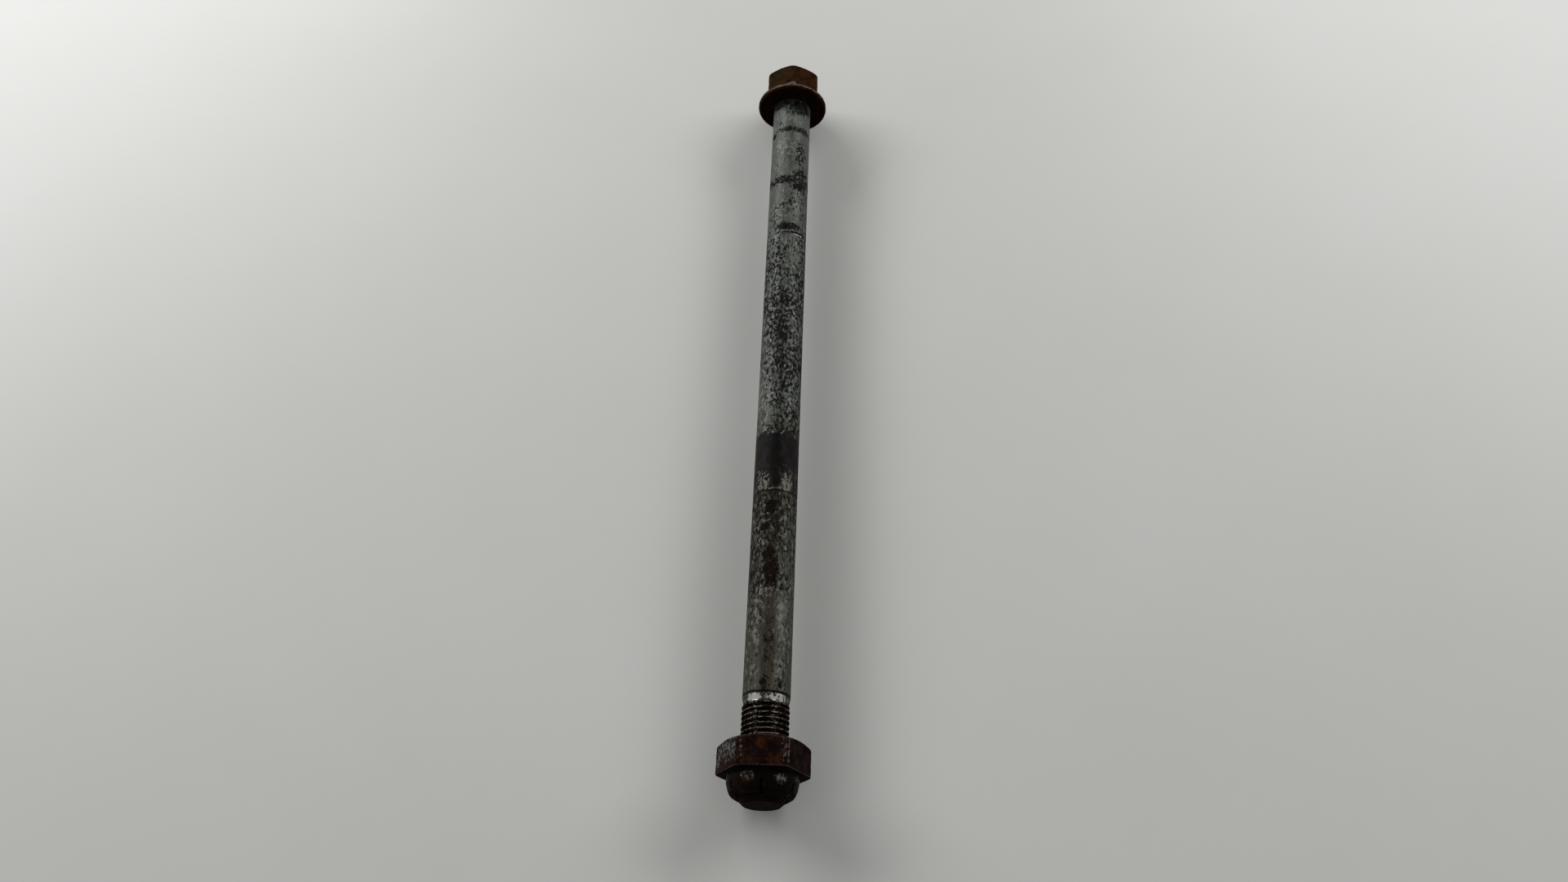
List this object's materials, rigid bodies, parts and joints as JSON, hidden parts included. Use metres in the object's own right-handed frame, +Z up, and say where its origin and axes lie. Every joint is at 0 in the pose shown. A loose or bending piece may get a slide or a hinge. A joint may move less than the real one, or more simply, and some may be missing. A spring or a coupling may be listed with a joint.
{
  "type": "swingarm pivot bolt",
  "caption": "Long flanged hex bolt with a plain round shank, a short threaded end and a one-piece hex lock nut with a slotted, domed crown run onto it.",
  "frame": {"origin": "on the bolt's axis, in the plane of the flange's bearing face under the head", "axes": "+X along the bolt from the head to the threaded tip, +Z up with a corner of the head and a flat of the nut facing up, the bolt lying on its side"},
  "size_m": [0.275, 0.0266, 0.026],
  "materials": {
    "aged_zinc": "dull grey zinc plating, mottled with dark specks, with oily and rusty patches",
    "rusty_steel": "rust brown steel, worn bare along its edges"
  },
  "bodies": {
    "bolt": {"pivot_bolt": "aged_zinc"},
    "nut": {"lock_nut": "rusty_steel"}
  },
  "joints": [
    {"name": "nut_turn", "type": "hinge", "parent": "bolt", "child": "nut", "pos_m": [0.2437, 0, 0], "axis": [-1, 0, 0], "range_deg": [-360, 360]}
  ]
}
